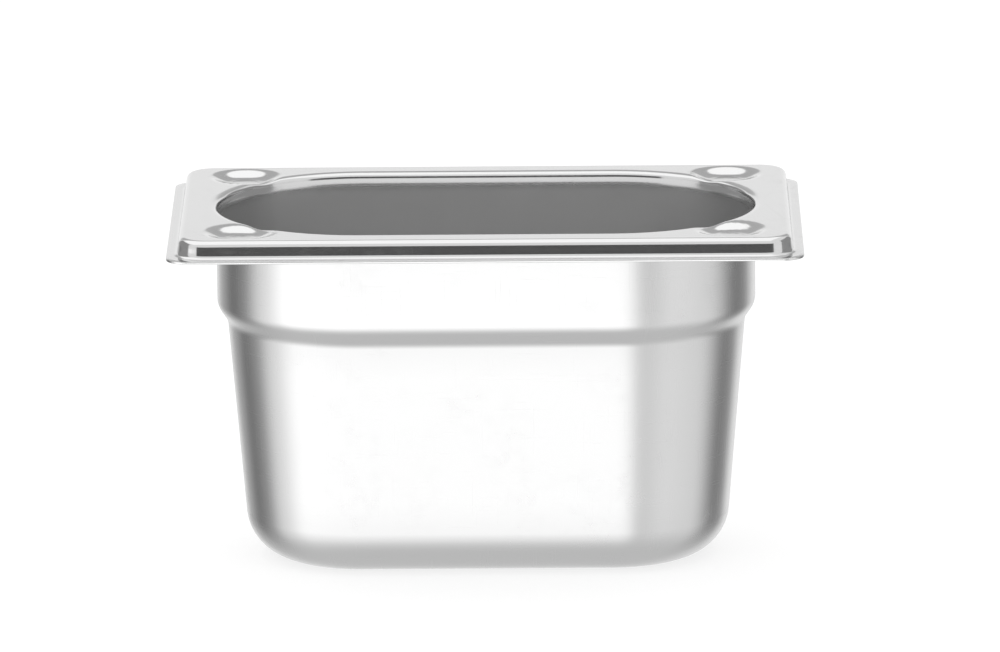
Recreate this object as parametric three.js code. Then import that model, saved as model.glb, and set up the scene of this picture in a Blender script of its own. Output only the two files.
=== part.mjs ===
// Gastronorm 1/9 food pan, 100 mm deep: one piece of stainless sheet, deep-drawn and then trimmed.
// Millimetres, +Z up, X along the long side. The origin is the middle of the base's underside.
//
// The sheet's middle surface is a section of straight runs and bends, from the centre of the base, up the
// wall and out over the rim to its trimmed edge. The section goes once round the pan, through a rounded
// rectangle in plan. Last, four round pockets are pressed into the corners of the rim.

import * as THREE from 'three';

// Overall size
const RIM_LENGTH = 176;
const RIM_WIDTH = 108;
const HEIGHT = 100;
const SHEET = 0.7;

// Body
const BAND_LENGTH = 150.4; // the straight band under the rim, across its outer faces
const BAND_RADIUS = 40.5; // its corners in plan, which share one centre with every corner below them
const WALL_DRAFT = 4.9; // degrees that the lower wall leans in from vertical
const STACKING_STEP = 3; // how far the wall steps in below the band, so that nested pans don't jam
const STEP_LEAN = 35; // degrees of the step's slope from vertical
const STEP_TOP = 73.7;
const STEP_OUTER_BEND = 5;
const STEP_INNER_BEND = 5;
const BASE_BEND = 14; // outside radius between base and wall

// Mouth, from the band upwards: bend radii here and in the rim are those of the upper face
const FLARE_BEND = 5;
const FLARE_LEAN = 24; // degrees from vertical
const NECK_BEND = 1;
const NECK_LEAN = 6; // degrees from vertical
const NECK_HEIGHT = 0.4;
const MOUTH_BEND = 1.1;
const MOUTH_SLOPE = 18; // degrees above the horizontal, where the tight bend ends and the easing begins
const EASING_BEND = 4.5;

// Rim
const RIM_SHOULDER_BEND = 1.8;
const RIM_DROP = 4.95; // from the flat top down to the lip's upper face
const RIM_DROP_LEAN = 7; // degrees of the drop's face from vertical
const LIP_BEND = 1.2;
const LIP_FLAT = 1.9;
const RIM_CORNER_RADIUS = 6; // in plan, where the flat top ends
const LIP_CORNER_RADIUS = 6.5; // in plan, at the trimmed edge

// Corner pockets
const POCKET_CENTRE_X = 67.8;
const POCKET_CENTRE_Y = 37.2;
const POCKET_RADIUS = 10.5;
const POCKET_FLOOR_RADIUS = 4.5;
const POCKET_DEPTH = 1.8;
const POCKET_FADE_TOP = 96; // the press pushes the whole sheet down above here
const POCKET_FADE_BOTTOM = 84; // and none of it below here

// How finely the surface is divided
const CORNER_STEPS = 16;
const BEND_STEP = 22.5; // degrees
const RIM_FLAT_STEPS = 8;

const HALF_SHEET = SHEET / 2;
const TOP_SURFACE = HEIGHT - HALF_SHEET; // the middle surface's height in the rim's flat
const rad = THREE.MathUtils.degToRad;

// Plan: every corner of the body turns about one point, and reach is the distance outwards from it.
const CORNER_X = BAND_LENGTH / 2 - BAND_RADIUS;
const CORNER_Y = RIM_WIDTH / 2 - RIM_LENGTH / 2 + CORNER_X;
const EDGE_REACH = RIM_LENGTH / 2 - CORNER_X;

// Headings of the section, in degrees above the outward horizontal
const ALONG = 0;
const UP = 90;
const WALL = 90 - WALL_DRAFT;
const STEP = 90 - STEP_LEAN;
const FLARE = 90 - FLARE_LEAN;
const NECK = 90 - NECK_LEAN;
const DROP = RIM_DROP_LEAN - 90;

const bendReach = (radius, from, to) => radius * Math.abs(Math.sin(rad(to)) - Math.sin(rad(from)));
const bendRise = (radius, from, to) => radius * Math.abs(Math.cos(rad(to)) - Math.cos(rad(from)));

// Radii of the middle surface
const baseBend = BASE_BEND - HALF_SHEET;
const flareBend = FLARE_BEND - HALF_SHEET;
const neckBend = NECK_BEND + HALF_SHEET;
const mouthBend = MOUTH_BEND - HALF_SHEET;
const easingBend = EASING_BEND - HALF_SHEET;
const shoulderBend = RIM_SHOULDER_BEND - HALF_SHEET;
const lipBend = LIP_BEND + HALF_SHEET;

// The straight runs are what the bends leave of the driving dimensions.
const stepRun =
  (STACKING_STEP - bendReach(STEP_OUTER_BEND, STEP, UP) - bendReach(STEP_INNER_BEND, WALL, STEP)) /
  Math.cos(rad(STEP));
const stepRise =
  bendRise(STEP_OUTER_BEND, STEP, UP) + stepRun * Math.sin(rad(STEP)) + bendRise(STEP_INNER_BEND, WALL, STEP);
const wallRun = (STEP_TOP - stepRise - HALF_SHEET - bendRise(baseBend, ALONG, WALL)) / Math.sin(rad(WALL));
const baseRun =
  BAND_RADIUS - HALF_SHEET - STACKING_STEP - wallRun * Math.cos(rad(WALL)) - bendReach(baseBend, ALONG, WALL);
const mouthTurns = [
  [flareBend, UP, FLARE],
  [neckBend, FLARE, NECK],
  [mouthBend, NECK, MOUTH_SLOPE],
  [easingBend, MOUTH_SLOPE, ALONG],
];
const sum = (lengths) => lengths.reduce((total, length) => total + length, 0);
const neckRun = NECK_HEIGHT / Math.sin(rad(NECK));
const mouthReach = sum(mouthTurns.map((turn) => bendReach(...turn))) + neckRun * Math.cos(rad(NECK));
const mouthRise = sum(mouthTurns.map((turn) => bendRise(...turn))) + NECK_HEIGHT;
const bandRun = TOP_SURFACE - STEP_TOP - mouthRise;
const dropRun =
  (RIM_DROP - bendRise(shoulderBend, ALONG, DROP) - bendRise(lipBend, DROP, ALONG)) / Math.cos(rad(RIM_DROP_LEAN));
const rimReach =
  bendReach(shoulderBend, ALONG, DROP) + dropRun * Math.sin(rad(RIM_DROP_LEAN)) + bendReach(lipBend, DROP, ALONG);
const flatStart = BAND_RADIUS - HALF_SHEET + mouthReach;
const lipStart = EDGE_REACH - LIP_FLAT;
const flatEnd = lipStart - rimReach;

// The section as points of the middle surface, each with the heading of the sheet there
function sectionOfSheet() {
  const stations = [{ reach: 0, height: HALF_SHEET, heading: ALONG }];
  const last = () => stations[stations.length - 1];

  function run(length, steps = 1) {
    const { reach, height, heading } = last();
    for (let i = 1; i <= steps; i++) {
      const gone = (length * i) / steps;
      stations.push({
        reach: reach + gone * Math.cos(rad(heading)),
        height: height + gone * Math.sin(rad(heading)),
        heading,
      });
    }
  }

  function bend(radius, to) {
    const { reach, height, heading: from } = last();
    const side = Math.sign(to - from);
    const steps = Math.ceil(Math.abs(to - from) / BEND_STEP);
    for (let i = 1; i <= steps; i++) {
      const heading = from + ((to - from) * i) / steps;
      stations.push({
        reach: reach + side * radius * (Math.sin(rad(heading)) - Math.sin(rad(from))),
        height: height + side * radius * (Math.cos(rad(from)) - Math.cos(rad(heading))),
        heading,
      });
    }
  }

  run(baseRun);
  bend(baseBend, WALL);
  run(wallRun);
  bend(STEP_INNER_BEND, STEP);
  run(stepRun);
  bend(STEP_OUTER_BEND, UP);
  run(bandRun);
  bend(flareBend, FLARE);
  bend(neckBend, NECK);
  run(neckRun);
  bend(mouthBend, MOUTH_SLOPE);
  bend(easingBend, ALONG);
  run(flatEnd - flatStart, RIM_FLAT_STEPS);
  bend(shoulderBend, DROP);
  run(dropRun);
  bend(lipBend, ALONG);
  run(LIP_FLAT);
  return stations;
}

// A corner's radius in plan is its reach as far as the mouth. Over the rim's flat it tightens to the rim's own
// corner, which then keeps one centre down to the lip, and across the lip it tightens again to the trimmed edge.
function cornerRadius(reach) {
  const { mapLinear } = THREE.MathUtils;
  if (reach <= flatStart) return reach;
  if (reach <= flatEnd) return mapLinear(reach, flatStart, flatEnd, flatStart, RIM_CORNER_RADIUS);
  if (reach <= lipStart) return RIM_CORNER_RADIUS + reach - flatEnd;
  return mapLinear(reach, lipStart, EDGE_REACH, RIM_CORNER_RADIUS + rimReach, LIP_CORNER_RADIUS);
}

// The closed outline of the sheet's section: out along its underside, back along its upper face. Each point
// has its corner radius in plan, which keeps the sheet's thickness the same round a corner.
function outlineOfSheet(stations) {
  const face = (side) =>
    stations.map(({ reach, height, heading }) => {
      const outwards = -side * HALF_SHEET * Math.sin(rad(heading));
      return {
        reach: reach + outwards,
        height: height + side * HALF_SHEET * Math.cos(rad(heading)),
        radius: cornerRadius(reach) + outwards,
      };
    });
  return [...face(-1), ...face(1).reverse()];
}

// Where one step of the way round lies in plan. Each corner has CORNER_STEPS + 1 steps, its two ends included.
const STEPS_PER_CORNER = CORNER_STEPS + 1;
const STEPS_ROUND = 4 * STEPS_PER_CORNER;

function planPoint(reach, radius, step) {
  if (reach === 0) return new THREE.Vector2(0, 0);
  const corner = Math.floor(step / STEPS_PER_CORNER);
  const angle = rad(90 * (corner + (step % STEPS_PER_CORNER) / CORNER_STEPS));
  const sideX = corner === 0 || corner === 3 ? 1 : -1;
  const sideY = corner < 2 ? 1 : -1;
  const inset = reach - radius;
  return new THREE.Vector2(
    sideX * (CORNER_X + inset) + radius * Math.cos(angle),
    sideY * (CORNER_Y + inset) + radius * Math.sin(angle),
  );
}

// How far the press pushes the sheet down at a place in plan: all the way over a pocket's floor
function pocketDepth(x, y, height) {
  const away = Math.hypot(Math.abs(x) - POCKET_CENTRE_X, Math.abs(y) - POCKET_CENTRE_Y);
  const share = 1 - THREE.MathUtils.smoothstep(away, POCKET_FLOOR_RADIUS, POCKET_RADIUS);
  const hold = THREE.MathUtils.smoothstep(height, POCKET_FADE_BOTTOM, POCKET_FADE_TOP);
  return POCKET_DEPTH * share * hold;
}

// A lathe splits each of its four-sided patches into the triangles a, b, d and c, d, b. Where the patch's other
// diagonal is the shorter one, the triangles a, b, c and a, c, d follow the pressed shape more closely.
function splitAlongShorterDiagonals(geometry) {
  const place = geometry.getAttribute('position');
  const index = geometry.getIndex();
  const corner = (i) => new THREE.Vector3().fromBufferAttribute(place, index.getX(i));
  for (let first = 0; first < index.count; first += 6) {
    const patch = [0, 1, 3, 2].map((i) => corner(first + i));
    const [a, b, c, d] = patch;
    const merged = patch.some((point, i) => point.equals(patch[(i + 1) % 4]));
    if (merged || a.distanceTo(c) >= b.distanceTo(d)) continue;
    const thirdCorner = index.getX(first + 3);
    index.setX(first + 2, thirdCorner);
    index.setX(first + 5, index.getX(first));
  }
}

// A lathe turns the outline once round, and each of its points then moves to its place on the rounded rectangle.
function panGeometry() {
  const outline = outlineOfSheet(sectionOfSheet());
  const profile = outline.map(({ reach, height }) => new THREE.Vector2(reach, height));
  const geometry = new THREE.LatheGeometry(profile, STEPS_ROUND);
  const place = geometry.getAttribute('position');
  for (let i = 0; i < place.count; i++) {
    const { reach, height, radius } = outline[i % outline.length];
    const step = Math.floor(i / outline.length) % STEPS_ROUND;
    const { x, y } = planPoint(reach, radius, step);
    place.setXYZ(i, x, y, height - pocketDepth(x, y, height));
  }
  splitAlongShorterDiagonals(geometry);
  geometry.computeVertexNormals();
  return geometry;
}

const stainlessSteel = new THREE.MeshStandardMaterial({
  name: 'stainless_steel',
  color: 0xc9c9c7,
  metalness: 1,
  roughness: 0.3,
});

const pan = new THREE.Mesh(panGeometry(), stainlessSteel);
pan.name = 'pan';

const foodPan = new THREE.Group();
foodPan.add(pan);

export default foodPan;
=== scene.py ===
"""A gastronorm 1/9 food pan, 100 mm deep: one sheet of stainless steel, deep-drawn, pressed and trimmed.

Metres, +Z up, X along the long side. The origin is the middle of the base's underside.
"""

import math

import bmesh
import bpy
from mathutils import Matrix, Vector


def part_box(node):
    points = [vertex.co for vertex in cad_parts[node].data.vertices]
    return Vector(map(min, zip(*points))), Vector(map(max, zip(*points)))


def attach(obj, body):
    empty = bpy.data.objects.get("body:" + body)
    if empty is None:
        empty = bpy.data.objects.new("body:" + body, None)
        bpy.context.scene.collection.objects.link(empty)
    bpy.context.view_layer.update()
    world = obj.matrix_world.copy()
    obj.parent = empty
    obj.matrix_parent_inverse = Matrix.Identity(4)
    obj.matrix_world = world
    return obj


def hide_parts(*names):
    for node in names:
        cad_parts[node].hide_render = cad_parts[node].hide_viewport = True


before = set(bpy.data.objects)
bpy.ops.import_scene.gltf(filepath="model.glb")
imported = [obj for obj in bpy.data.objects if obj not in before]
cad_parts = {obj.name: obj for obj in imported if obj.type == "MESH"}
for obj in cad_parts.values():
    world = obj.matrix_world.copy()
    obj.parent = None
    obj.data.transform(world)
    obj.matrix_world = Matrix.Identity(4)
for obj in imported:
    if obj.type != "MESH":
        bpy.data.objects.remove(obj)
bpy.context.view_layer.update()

MM = 0.001

# ---------------------------------------------------------------------------------------------------------
# The pan's size. Its length, width and height come from the frame.

FRAME_LOW, FRAME_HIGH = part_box("pan")
RIM_HALF_LENGTH = FRAME_HIGH.x
RIM_HALF_WIDTH = FRAME_HIGH.y
HEIGHT = FRAME_HIGH.z
SHEET = 0.7 * MM

# Body
BAND_HALF_LENGTH = 75.2 * MM
BAND_RADIUS = 40.5 * MM
WALL_DRAFT = 4.9  # degrees
STACKING_STEP = 3 * MM
STEP_LEAN = 35  # degrees from upright
STEP_TOP = 73.7 * MM
STEP_OUTER_BEND = 5 * MM
STEP_INNER_BEND = 5 * MM
BASE_BEND = 14 * MM

# Mouth, from the band upwards: bend radii here and in the rim are those of the upper face
FLARE_BEND = 5 * MM
FLARE_LEAN = 24  # degrees from upright
NECK_BEND = 1 * MM
NECK_LEAN = 6  # degrees from upright
NECK_HEIGHT = 0.4 * MM
MOUTH_BEND = 1.1 * MM
MOUTH_SLOPE = 18  # degrees from level, where the tight bend ends
EASING_BEND = 4.5 * MM

# Rim
RIM_SHOULDER_BEND = 1.8 * MM
RIM_DROP = 4.95 * MM
RIM_DROP_LEAN = 7  # degrees from upright
LIP_BEND = 1.2 * MM
LIP_FLAT = 1.9 * MM
RIM_CORNER_RADIUS = 6 * MM
LIP_CORNER_RADIUS = 6.5 * MM
EDGE_ROUND = 0.15 * MM  # on the trimmed edge

# Round pockets pressed into the rim's corners
POCKET_CENTRE = Vector((67.8, 37.2)) * MM
POCKET_RADIUS = 10.5 * MM
POCKET_FLOOR_RADIUS = 4.5 * MM
POCKET_DEPTH = 1.8 * MM
POCKET_FADE_TOP = 96 * MM  # the press pushes the whole sheet down above here
POCKET_FADE_BOTTOM = 84 * MM  # and none of it below here

# How finely the sheet is divided
CORNER_STEPS = 40
BEND_STEP = 9  # degrees
RIM_FLAT_STEPS = 30
WALL_STEPS = 6

# The steel's finish
STAINLESS = "d4d4d4"  # polished or ironed
MILL_FINISH = "cccccc"
OUTSIDE_ROUGHNESS = 0.24
INSIDE_ROUGHNESS = 0.42
RIM_ROUGHNESS = 0.12
GREASE_ROUGHENS = 0.04
SCRATCHES_ROUGHEN = 0.05

HALF_SHEET = SHEET / 2
CORNER_X = BAND_HALF_LENGTH - BAND_RADIUS
CORNER = Vector((CORNER_X, CORNER_X + RIM_HALF_WIDTH - RIM_HALF_LENGTH))
EDGE_REACH = RIM_HALF_LENGTH - CORNER.x


def sine(degrees):
    return math.sin(math.radians(degrees))


def cosine(degrees):
    return math.cos(math.radians(degrees))


def bend_reach(radius, start, end):
    return radius * abs(sine(end) - sine(start))


def bend_rise(radius, start, end):
    return radius * abs(cosine(end) - cosine(start))


def lerp(low, high, share):
    return low + (high - low) * share


def smoothstep(low, high, value):
    share = min(max((value - low) / (high - low), 0), 1)
    return share * share * (3 - 2 * share)


# ---------------------------------------------------------------------------------------------------------
# The section: middle surface radii and headings, then the straight runs that the bends leave

WALL = 90 - WALL_DRAFT
STEP = 90 - STEP_LEAN
FLARE = 90 - FLARE_LEAN
NECK = 90 - NECK_LEAN
DROP = RIM_DROP_LEAN - 90
base_bend = BASE_BEND - HALF_SHEET
flare_bend = FLARE_BEND - HALF_SHEET
neck_bend = NECK_BEND + HALF_SHEET
mouth_bend = MOUTH_BEND - HALF_SHEET
easing_bend = EASING_BEND - HALF_SHEET
shoulder_bend = RIM_SHOULDER_BEND - HALF_SHEET
lip_bend = LIP_BEND + HALF_SHEET

step_reach = bend_reach(STEP_OUTER_BEND, STEP, 90) + bend_reach(STEP_INNER_BEND, WALL, STEP)
step_run = (STACKING_STEP - step_reach) / cosine(STEP)
step_bends_rise = bend_rise(STEP_OUTER_BEND, STEP, 90) + bend_rise(STEP_INNER_BEND, WALL, STEP)
step_rise = step_bends_rise + step_run * sine(STEP)
wall_run = (STEP_TOP - step_rise - HALF_SHEET - bend_rise(base_bend, 0, WALL)) / sine(WALL)
wall_foot = BAND_RADIUS - HALF_SHEET - STACKING_STEP - wall_run * cosine(WALL)
base_reach = wall_foot - bend_reach(base_bend, 0, WALL)
drop_rise = RIM_DROP - bend_rise(shoulder_bend, 0, DROP) - bend_rise(lip_bend, DROP, 0)
drop_run = drop_rise / cosine(RIM_DROP_LEAN)
drop_bends_reach = bend_reach(shoulder_bend, 0, DROP) + bend_reach(lip_bend, DROP, 0)
drop_reach = drop_bends_reach + drop_run * sine(RIM_DROP_LEAN)
mouth_turns = (
    (flare_bend, 90, FLARE),
    (neck_bend, FLARE, NECK),
    (mouth_bend, NECK, MOUTH_SLOPE),
    (easing_bend, MOUTH_SLOPE, 0),
)
mouth_reach = sum(bend_reach(*turn) for turn in mouth_turns) + NECK_HEIGHT / math.tan(math.radians(NECK))
mouth_rise = sum(bend_rise(*turn) for turn in mouth_turns) + NECK_HEIGHT
flat_start = BAND_RADIUS - HALF_SHEET + mouth_reach
lip_start = EDGE_REACH - LIP_FLAT
flat_end = lip_start - drop_reach


def corner_radius(reach):
    """The radius in plan of the corners of the ring at this reach from the body's corner centres."""
    if reach <= flat_start:
        return reach
    if reach <= flat_end:
        return lerp(flat_start, RIM_CORNER_RADIUS, (reach - flat_start) / (flat_end - flat_start))
    if reach <= lip_start:
        return RIM_CORNER_RADIUS + reach - flat_end
    return lerp(RIM_CORNER_RADIUS + drop_reach, LIP_CORNER_RADIUS, (reach - lip_start) / LIP_FLAT)


class Section:
    """Walks outwards from the base along the sheet's middle surface, and notes its upper face at each
    station: reach from the body's corner centres, height, corner radius in plan, and length gone."""

    def __init__(self, reach, height):
        self.reach, self.height, self.heading, self.gone = reach, height, 0, 0
        self.stations = []
        self.note()

    def note(self):
        outwards = -HALF_SHEET * sine(self.heading)
        height = self.height + HALF_SHEET * cosine(self.heading)
        self.stations.append((self.reach + outwards, height, corner_radius(self.reach) + outwards, self.gone))

    def run(self, length, steps=1):
        for _ in range(steps):
            self.reach += length / steps * cosine(self.heading)
            self.height += length / steps * sine(self.heading)
            self.gone += length / steps
            self.note()

    def bend(self, radius, heading):
        start, turn = self.heading, heading - self.heading
        steps = math.ceil(abs(turn) / BEND_STEP)
        side = math.copysign(radius, turn)
        for i in range(steps):
            after = start + turn * (i + 1) / steps
            self.reach += side * (sine(after) - sine(self.heading))
            self.height += side * (cosine(self.heading) - cosine(after))
            self.gone += radius * math.radians(abs(turn) / steps)
            self.heading = after
            self.note()


def sheet_section():
    section = Section(base_reach, HALF_SHEET)
    section.bend(base_bend, WALL)
    section.run(wall_run, WALL_STEPS)
    section.bend(STEP_INNER_BEND, STEP)
    section.run(step_run, 2)
    section.bend(STEP_OUTER_BEND, 90)
    section.run(HEIGHT - HALF_SHEET - STEP_TOP - mouth_rise, WALL_STEPS)
    section.bend(flare_bend, FLARE)
    section.bend(neck_bend, NECK)
    section.run(NECK_HEIGHT / sine(NECK))
    section.bend(mouth_bend, MOUTH_SLOPE)
    section.bend(easing_bend, 0)
    section.run(flat_end - flat_start, RIM_FLAT_STEPS)
    section.bend(shoulder_bend, DROP)
    section.run(drop_run, 3)
    section.bend(lip_bend, 0)
    section.run(LIP_FLAT, 2)
    return section.stations


# ---------------------------------------------------------------------------------------------------------
# The pan

# Where on the mouth a point of the sheet was drawn from, and how far down the section it lies
DRAWN = "drawn"

# One on the punch's side of the sheet, which is the inside of the pan and the top of the rim
PUNCH_SIDE = "punch_side"


def quarters(verts):
    """The verts in each corner's quarter of the plan, with the quarter's signs."""
    for side_x in (1, -1):
        for side_y in (1, -1):
            yield Vector((side_x, side_y)), [v for v in verts if v.co.x * side_x > 0 and v.co.y * side_y > 0]


def draw_sheet(bm):
    """The sheet's upper face: a ring round the base, extruded up the wall and out over the rim. A ring is a
    circle whose quarters are moved out to its corners."""
    drawn = bm.verts.layers.float_vector.new(DRAWN)
    half_step = math.pi / 4 / CORNER_STEPS
    stations = [
        (CORNER + Vector((1, 1)) * (reach - radius), height, radius / math.cos(half_step), gone)
        for reach, height, radius, gone in sheet_section()
    ]
    centre, height, radius, gone = stations[0]
    turned = Matrix.Translation((0, 0, height)) @ Matrix.Rotation(half_step, 4, "Z")
    bmesh.ops.create_circle(bm, cap_ends=True, segments=4 * CORNER_STEPS, radius=radius, matrix=turned)
    for side, verts in quarters(bm.verts[:]):
        for vert in verts:
            vert[drawn] = (side * CORNER + vert.co.to_2d() / radius * flat_start).to_3d()
        bmesh.ops.translate(bm, verts=verts, vec=(side * centre).to_3d())
    edges = bm.edges[:]
    for next_centre, next_height, next_radius, next_gone in stations[1:]:
        made = bmesh.ops.extrude_edge_only(bm, edges=edges)["geom"]
        edges = [e for e in made if isinstance(e, bmesh.types.BMEdge) and len(e.link_faces) == 1]
        grow = next_radius / radius
        for side, verts in quarters([v for v in made if isinstance(v, bmesh.types.BMVert)]):
            about = Matrix.Translation(-(side * centre).to_3d())
            bmesh.ops.scale(bm, verts=verts, vec=(grow, grow, 1), space=about)
            move = (side * (next_centre - centre)).to_3d() + Vector((0, 0, next_height - height))
            bmesh.ops.translate(bm, verts=verts, vec=move)
            for vert in verts:
                vert[drawn] = (*vert[drawn].to_2d(), next_gone)
        centre, height, radius = next_centre, next_height, next_radius


def cut_walls(bm):
    """Lines across the flat walls and base, so that they stay flat up to the corners' bends."""
    near_corner = 5 * MM
    for axis, centre in ((Vector((1, 0, 0)), CORNER.x), (Vector((0, 1, 0)), CORNER.y)):
        for place in (near_corner - centre, 0, centre - near_corner):
            geom = bm.verts[:] + bm.edges[:] + bm.faces[:]
            bmesh.ops.bisect_plane(bm, geom=geom, dist=0.001 * MM, plane_co=axis * place, plane_no=axis)


def press_pockets(bm):
    """Pushes the sheet down at the rim's four corners, with the wall's top under each one."""
    for vert in bm.verts:
        x, y, z = vert.co
        away = (Vector((abs(x), abs(y))) - POCKET_CENTRE).length
        share = 1 - smoothstep(POCKET_FLOOR_RADIUS, POCKET_RADIUS, away)
        hold = smoothstep(POCKET_FADE_BOTTOM, POCKET_FADE_TOP, z)
        vert.co.z -= POCKET_DEPTH * share * hold


def round_trimmed_edge(bm):
    """The two edges of the sheet's cut, broken with a small round."""
    edges = [e for e in bm.edges if e.calc_face_angle(0) > math.radians(60)]
    bmesh.ops.bevel(bm, geom=edges, offset=EDGE_ROUND, affect="EDGES", segments=3, profile=0.5, material=-1)


def make_pan():
    bm = bmesh.new()
    draw_sheet(bm)
    cut_walls(bm)
    press_pockets(bm)
    bmesh.ops.recalc_face_normals(bm, faces=bm.faces)
    punch_side = bm.verts.layers.float.new(PUNCH_SIDE)
    upper = bm.verts[:]
    bmesh.ops.solidify(bm, geom=bm.faces[:], thickness=SHEET)
    for vert in upper:
        vert[punch_side] = 1
    round_trimmed_edge(bm)
    for face in bm.faces:
        face.smooth = True
    mesh = bpy.data.meshes.new("food_pan")
    bm.to_mesh(mesh)
    bm.free()
    pan = bpy.data.objects.new("food_pan", mesh)
    bpy.context.scene.collection.objects.link(pan)
    return pan


# ---------------------------------------------------------------------------------------------------------
# Materials


def to_linear(colour):
    """An sRGB hex colour, such as "d8d7d4", as linear red, green, blue and alpha."""
    parts = [int(colour[i : i + 2], 16) / 255 for i in (0, 2, 4)]
    return (*[c / 12.92 if c <= 0.04045 else ((c + 0.055) / 1.055) ** 2.4 for c in parts], 1)


def add(tree, kind, settings=None, **inputs):
    """Adds a node, and sets or links each input named by keyword, where an underscore stands for a space."""
    node = tree.nodes.new("ShaderNode" + kind)
    for name, value in (settings or {}).items():
        setattr(node, name, value)
    for name, value in inputs.items():
        socket = node.inputs[int(name[1:])] if name[1:].isdigit() else node.inputs[name.replace("_", " ")]
        if isinstance(value, bpy.types.NodeSocket):
            tree.links.new(value, socket)
        else:
            socket.default_value = value
    return node


def smooth_range(tree, value, low, high):
    """Goes smoothly from 0 to 1 as the value goes from low to high."""
    return add(
        tree, "MapRange", {"interpolation_type": "SMOOTHSTEP"}, Value=value, From_Min=low, From_Max=high
    ).outputs["Result"]


def blend(tree, share, start, end):
    return add(tree, "Mix", {"data_type": "FLOAT"}, Factor=share, A=start, B=end).outputs["Result"]


def new_material(name):
    material = bpy.data.materials.new(name)
    material.use_nodes = True
    material.node_tree.nodes.clear()
    return material


def deep_drawn_stainless():
    """The outside is polished satin, and the draw leaves faint upright lines down it, which soften
    reflections sideways. The inside keeps the sheet's matt mill finish, so it glows evenly. The rim is
    ironed smooth between the tools, so it mirrors most sharply. Use adds hair scratches and greasy patches."""
    material = new_material("deep_drawn_stainless")
    tree = material.node_tree
    place = add(tree, "TexCoord").outputs["Object"]
    drawn = add(tree, "Attribute", {"attribute_name": DRAWN}).outputs["Vector"]
    punch_side = add(tree, "Attribute", {"attribute_name": PUNCH_SIDE}).outputs["Fac"]

    # Draw lines: 0.6 mm apart and some 60 mm long
    scale = (1 / (0.6 * MM), 1 / (0.6 * MM), 1 / (60 * MM))
    stretched = add(tree, "Mapping", Vector=drawn, Scale=scale).outputs[0]
    lines = add(tree, "TexNoise", Vector=stretched, Scale=1, Detail=3, Roughness=0.6).outputs["Fac"]

    # Greasy patches 25 mm across, and fingermarks 4 mm across within them
    patches = add(tree, "TexNoise", Vector=place, Scale=1 / (25 * MM), Detail=2, Roughness=0.5).outputs["Fac"]
    marks = add(tree, "TexNoise", Vector=place, Scale=1 / (4 * MM), Detail=3, Roughness=0.6).outputs["Fac"]
    patches = smooth_range(tree, patches, 0.45, 0.65)
    marks = smooth_range(tree, marks, 0.4, 0.7)
    grease = add(tree, "Math", {"operation": "MULTIPLY"}, _0=patches, _1=marks).outputs[0]

    # Hair scratches, 0.15 mm wide and 20 mm long: upright ones from nesting, level ones from wiping
    scratches = 0
    for across, along in ((0.15, 20), (20, 0.15)):
        scale = (1 / (across * MM), 1 / (across * MM), 1 / (along * MM))
        hair = add(tree, "Mapping", Vector=drawn, Scale=scale).outputs[0]
        noise = add(tree, "TexNoise", Vector=hair, Scale=1, Detail=0).outputs["Fac"]
        scratch = smooth_range(tree, noise, 0.74, 0.84)
        scratches = add(tree, "Math", {"operation": "ADD"}, _0=scratches, _1=scratch).outputs[0]

    # The tools iron the sheet from just below the mouth out to its edge
    along_section = add(tree, "SeparateXYZ", Vector=drawn).outputs["Z"]
    mouth = next(gone for reach, _, _, gone in sheet_section() if reach > flat_start - 0.001 * MM)
    rim = smooth_range(tree, along_section, mouth - 8 * MM, mouth - 2 * MM)

    outside = add(tree, "Math", {"operation": "SUBTRACT"}, _0=1, _1=punch_side).outputs[0]
    polished = add(tree, "Math", {"operation": "MAXIMUM"}, _0=outside, _1=rim).outputs[0]
    colour = add(
        tree, "Mix", {"data_type": "RGBA"}, _0=polished, _6=to_linear(MILL_FINISH), _7=to_linear(STAINLESS)
    ).outputs[2]
    walls = blend(tree, punch_side, OUTSIDE_ROUGHNESS, INSIDE_ROUGHNESS)
    ironed = blend(tree, rim, walls, RIM_ROUGHNESS)
    greased = add(
        tree, "Math", {"operation": "MULTIPLY_ADD"}, _0=grease, _1=GREASE_ROUGHENS, _2=ironed
    ).outputs[0]
    roughness = add(
        tree, "Math", {"operation": "MULTIPLY_ADD"}, _0=scratches, _1=SCRATCHES_ROUGHEN, _2=greased
    ).outputs[0]

    bump = add(tree, "Bump", Strength=0.15, Distance=0.01 * MM, Height=lines)
    shader = add(
        tree, "BsdfPrincipled",
        Base_Color=colour, Metallic=1, Roughness=roughness, Normal=bump.outputs["Normal"],
    )
    add(tree, "OutputMaterial", Surface=shader.outputs["BSDF"])
    return material


pan = make_pan()
pan.data.materials.append(deep_drawn_stainless())
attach(pan, "root")
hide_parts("pan")


# ---------------------------------------------------------------------------------------------------------
# Stage, light and camera


def backlit_floor():
    """White acrylic lit from below, which leaves only a faint shadow under the pan."""
    material = new_material("backlit_floor")
    tree = material.node_tree
    shader = add(
        tree, "BsdfPrincipled",
        Base_Color=to_linear("a0a0a0"), Roughness=0.9, Specular_IOR_Level=0,
        Emission_Color=to_linear("ffffff"), Emission_Strength=0.7,
    )
    add(tree, "OutputMaterial", Surface=shader.outputs["BSDF"])
    return material


# How bright the studio is below the horizon at each angle round from the front, in degrees towards +X
SURROUND = (
    (-165, 1), (-145, 0.5), (-125, 0.18), (-110, 0.3), (-85, 1.1), (-60, 1.75), (12, 1.75),
    (27, 0.9), (50, 1.1), (85, 1), (118, 0.22), (130, 0.3), (155, 1),
)
SURROUND_BRIGHTEST = max(brightness for _, brightness in SURROUND)
STRAIGHT_DOWN = 0.74


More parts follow.
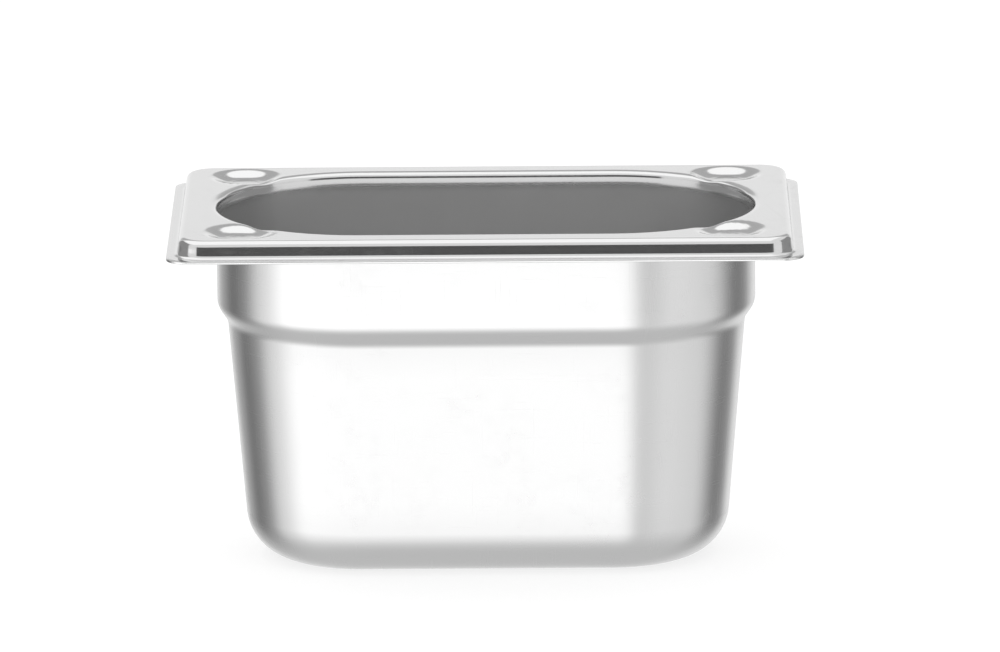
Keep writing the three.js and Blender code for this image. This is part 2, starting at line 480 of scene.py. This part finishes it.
def studio_world():
    """White above the horizon. Below it, where the steel's walls look, it is brightest in front of the pan
    and darker on both sides behind it, and evens out to a light grey straight down."""
    world = bpy.data.worlds.new("studio_world")
    world.use_nodes = True
    tree = world.node_tree
    tree.nodes.clear()
    heading = add(tree, "TexCoord").outputs["Generated"]
    turned = add(tree, "Mapping", Vector=heading, Rotation=(0, 0, math.radians(90))).outputs[0]
    azimuth = add(tree, "TexGradient", {"gradient_type": "RADIAL"}, Vector=turned).outputs["Fac"]
    around = add(tree, "ValToRGB", Fac=azimuth)
    stops = around.color_ramp
    stops.interpolation = "EASE"
    for angle, brightness in SURROUND:
        stop = stops.elements.new(angle / 360 + 0.5)
        stop.color = (*[brightness / SURROUND_BRIGHTEST] * 3, 1)
    stops.elements.remove(stops.elements[0])
    stops.elements.remove(stops.elements[-1])
    low = add(
        tree, "Math", {"operation": "MULTIPLY"}, _0=around.outputs["Color"], _1=SURROUND_BRIGHTEST
    ).outputs[0]

    height = add(tree, "SeparateXYZ", Vector=heading).outputs["Z"]
    below = blend(tree, smooth_range(tree, height, -0.22, -0.95), low, STRAIGHT_DOWN)
    everywhere = blend(tree, smooth_range(tree, height, -0.02, 0), below, 1)
    background = add(tree, "Background", Color=(1, 1, 1, 1), Strength=everywhere)
    add(tree, "OutputWorld", Surface=background.outputs["Background"])
    return world


def make_plane(name, size_x, size_y, place, turn=(0, 0, 0)):
    bm = bmesh.new()
    bmesh.ops.create_grid(bm, x_segments=1, y_segments=1, size=0.5)
    bmesh.ops.scale(bm, verts=bm.verts, vec=(size_x, size_y, 1))
    mesh = bpy.data.meshes.new(name)
    bm.to_mesh(mesh)
    bm.free()
    plane = bpy.data.objects.new(name, mesh)
    plane.location = place
    plane.rotation_euler = turn
    bpy.context.scene.collection.objects.link(plane)
    return plane


def card(name, brightness, size_x, size_y, place, turn=0):
    """An upright card, turned about the vertical, that shows in the steel and nowhere else. Its
    brightness is 1 for lit white."""
    thing = make_plane(name, size_x, size_y, place, (math.radians(90), 0, math.radians(turn)))
    material = new_material(name)
    tree = material.node_tree
    shader = add(tree, "Emission", Strength=brightness)
    add(tree, "OutputMaterial", Surface=shader.outputs["Emission"])
    thing.data.materials.append(material)
    thing.visible_camera = False
    thing.visible_shadow = False
    thing.visible_diffuse = False


def softbox(name, brightness, width, depth, place):
    """A softbox that shines straight down. Its brightness is 1 for lit white."""
    lamp = bpy.data.lights.new(name, "AREA")
    lamp.shape = "RECTANGLE"
    lamp.size = width
    lamp.size_y = depth
    lamp.energy = brightness * width * depth * math.pi
    thing = bpy.data.objects.new(name, lamp)
    thing.location = place
    thing.visible_camera = False
    bpy.context.scene.collection.objects.link(thing)


floor = make_plane("floor", 12, 12, (0, 0, 0))
floor.data.materials.append(backlit_floor())
floor.visible_glossy = False

bpy.context.scene.world = studio_world()
bpy.context.scene.view_settings.view_transform = "Standard"

# The back wall rings the pockets in grey, and the flags darken the rim's drop
softbox("overhead", 0.4, 1.6, 1.64, (-0.3, 0.17, 1))
card("back_wall", 0.55, 2.6, 1.24, (0, 2, 1.31))
card("front_flag", 0.1, 1.4, 0.2, (0, -0.8, 0.14))
for side in (1, -1):
    card("side_flag", 0.35, 1.25, 0.75, (side * 0.95, 0.3, 0.375), side * 108)

CAMERA_DISTANCE = 3.5
CAMERA_ELEVATION = math.radians(12.78)
CAMERA_AZIMUTH = math.radians(0.33)
CAMERA_ROLL = math.radians(0.45)
AIM_FROM_MIDDLE = Vector((3.64, 14.25, 0)) * MM  # across and up in the view

camera = bpy.data.objects.new("camera", bpy.data.cameras.new("camera"))
camera.data.sensor_width = 36
camera.data.lens = 450
camera.data.clip_end = 20
pan_middle = Vector((0, 0, HEIGHT / 2))
turned = Matrix.Rotation(CAMERA_AZIMUTH, 3, "Z") @ Matrix.Rotation(math.pi / 2 - CAMERA_ELEVATION, 3, "X")
turned = turned @ Matrix.Rotation(-CAMERA_ROLL, 3, "Z")
camera.location = pan_middle + turned @ Vector((0, 0, CAMERA_DISTANCE))
aim = pan_middle + turned @ AIM_FROM_MIDDLE
roll_up = turned @ Vector((0, 1, 0))
back = (camera.location - aim).normalized()
right = roll_up.cross(back).normalized()
camera.rotation_euler = Matrix((right, back.cross(right), back)).transposed().to_euler()
bpy.context.scene.collection.objects.link(camera)
bpy.context.scene.camera = camera
